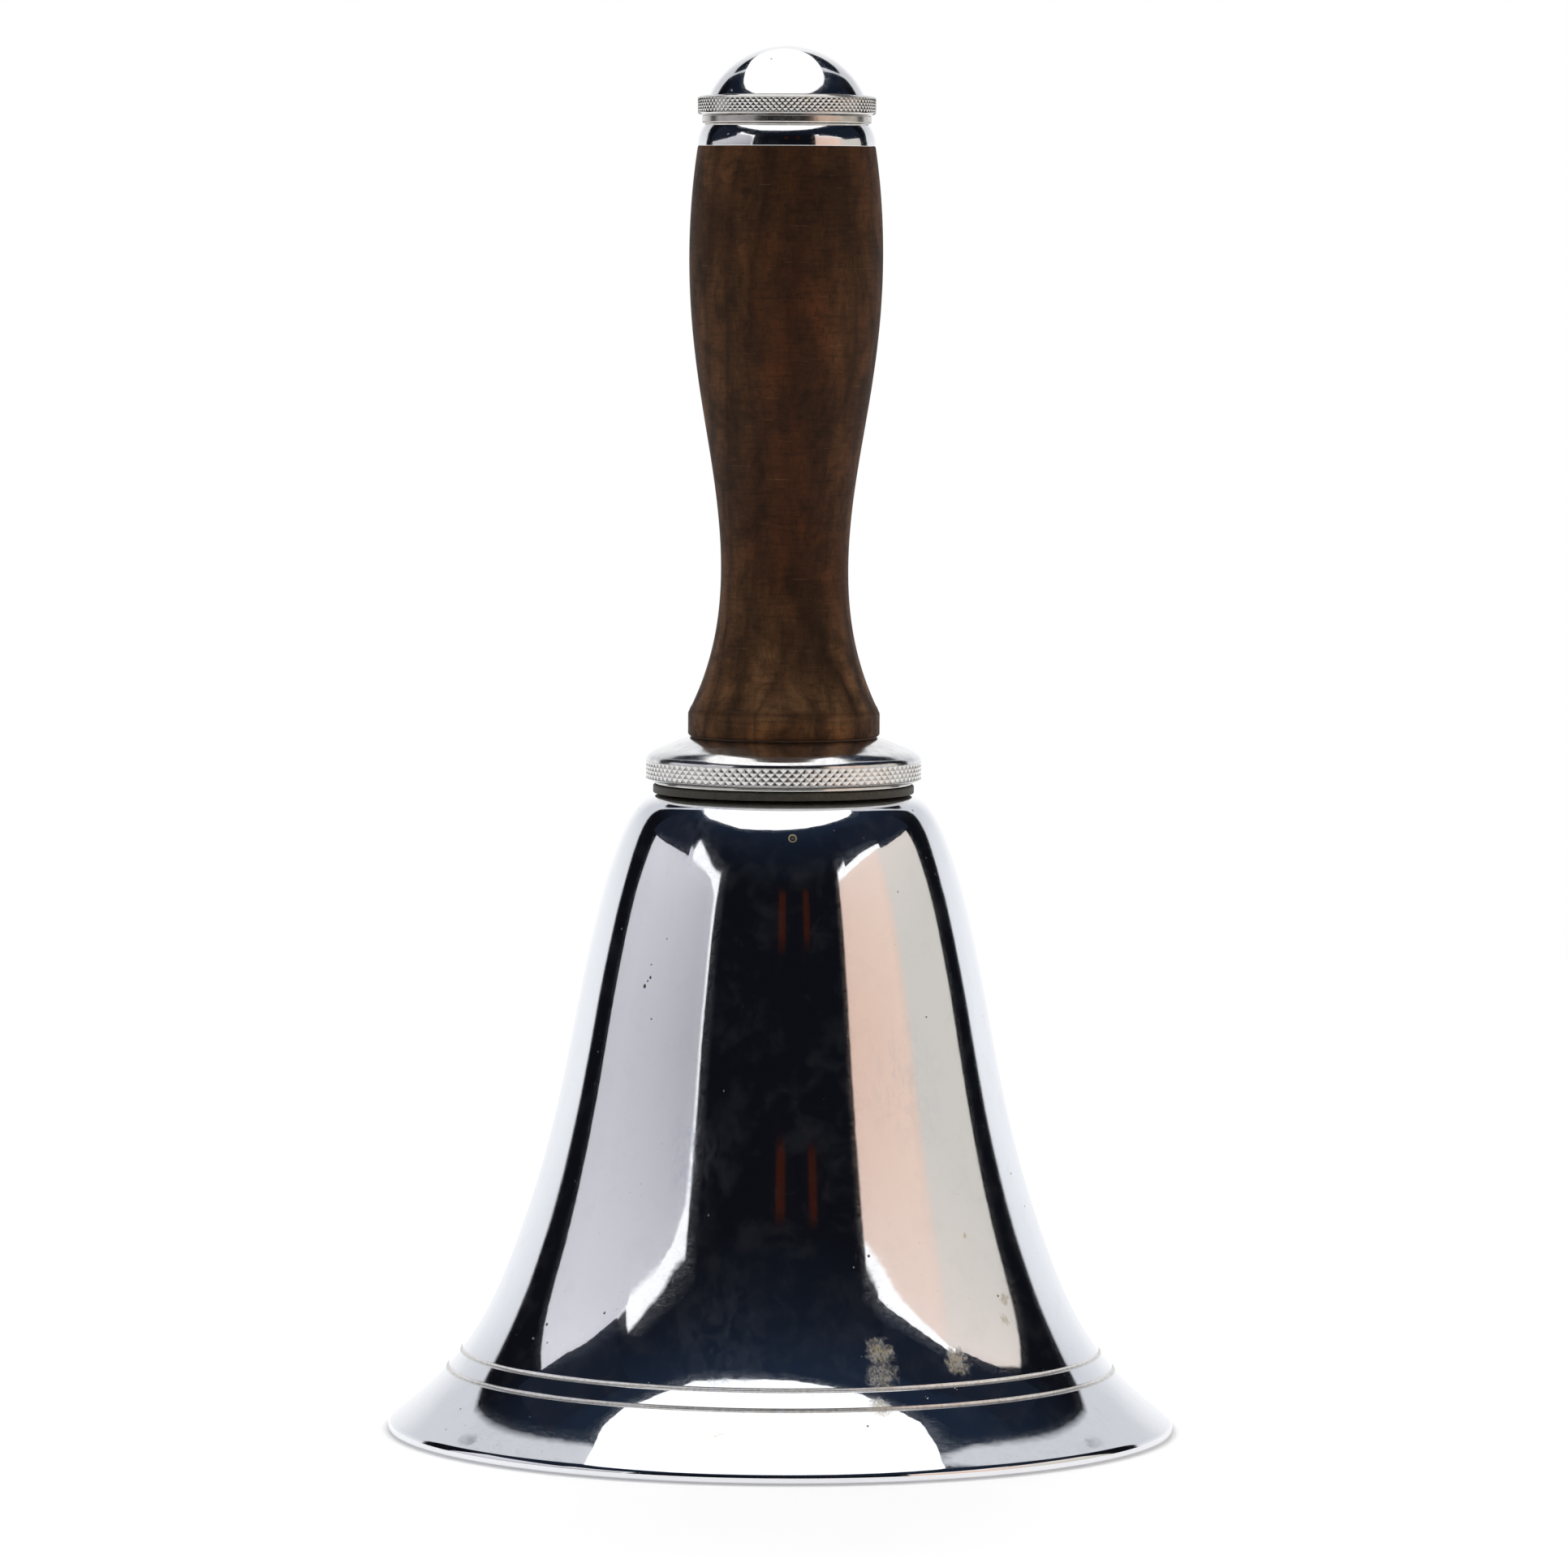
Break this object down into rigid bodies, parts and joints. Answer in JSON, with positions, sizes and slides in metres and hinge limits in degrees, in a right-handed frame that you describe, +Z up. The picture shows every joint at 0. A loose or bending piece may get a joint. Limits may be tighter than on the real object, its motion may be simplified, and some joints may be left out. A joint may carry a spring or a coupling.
{
  "type": "hand bell",
  "caption": "Chrome hand bell with a turned wooden handle; its upper part is a screw-topped vessel with strainer, pour tube and cap, and a clapper swings in its mouth.",
  "frame": {"origin": "centre of the bell's mouth, in the plane of the rim it stands on", "axes": "+Z up along the bell's axis towards the cap; +Y runs along the clapper's pin, so the clapper swings in the XZ plane"},
  "size_m": [0.1624, 0.1624, 0.2854],
  "materials": {
    "bell_chrome": "polished mirror plating, aged",
    "trim_chrome": "polished mirror plating",
    "plated_steel": "satin plating",
    "steel": "satin",
    "brass": "satin",
    "clapper_brass": "satin, worn",
    "gasket_rubber": "matte",
    "fibre": "matte",
    "handle_wood": "dry satin, dark stained",
    "cork": "cork"
  },
  "bodies": {
    "bell": {"bell_shell": "bell_chrome", "vessel_floor": "plated_steel", "neck_ring": "plated_steel", "hanger_plate": "plated_steel", "clapper_bracket": "steel", "clapper_pin": "steel", "bracket_rivets": "brass"},
    "clapper": {"clapper_arm": "steel", "clapper_ball": "clapper_brass", "clapper_nut": "brass"},
    "strainer": {"strainer_cup": "plated_steel"},
    "gasket": {"gasket_ring": "gasket_rubber"},
    "handle": {"collar_thread_ring": "plated_steel", "collar_knurled_band": "trim_chrome", "collar_lid": "trim_chrome", "pour_tube": "plated_steel", "tube_nut": "brass", "tube_nut_washer": "plated_steel", "handle_washer": "fibre", "wooden_handle": "handle_wood", "ferrule": "trim_chrome", "spout": "plated_steel"},
    "cap_ring": {"cap_base_ring": "trim_chrome"},
    "seal": {"cap_seal": "cork"},
    "cap": {"cap_thread_ring": "plated_steel", "cap_knurled_ring": "trim_chrome", "cap_dome": "trim_chrome"}
  },
  "joints": [
    {"name": "clapper_swing", "type": "hinge", "parent": "bell", "child": "clapper", "pos_m": [0, 0, 0.071], "axis": [0, 1, 0], "range_deg": [-52, 52]},
    {"name": "head_lift", "type": "slide", "parent": "bell", "child": "strainer", "axis": [0, 0, 1], "range_m": [0, 0.06]},
    {"name": "collar_rise", "type": "slide", "parent": "strainer", "child": "gasket", "axis": [0, 0, 1], "range_m": [0, 0.0046]},
    {"name": "collar_turn", "type": "hinge", "parent": "gasket", "child": "handle", "pos_m": [0, 0, 0.135], "axis": [0, 0, 1], "range_deg": [0, 540]},
    {"name": "cap_lift", "type": "slide", "parent": "handle", "child": "cap_ring", "axis": [0, 0, 1], "range_m": [0, 0.035]},
    {"name": "cap_rise", "type": "slide", "parent": "cap_ring", "child": "seal", "axis": [0, 0, 1], "range_m": [0, 0.0031]},
    {"name": "cap_turn", "type": "hinge", "parent": "seal", "child": "cap", "pos_m": [0, 0, 0.272], "axis": [0, 0, 1], "range_deg": [0, 540]}
  ],
  "couplings": [
    {"joint": "collar_rise", "follows": "collar_turn", "m_per_rad": 0.00047746},
    {"joint": "cap_rise", "follows": "cap_turn", "m_per_rad": 0.00031831}
  ]
}
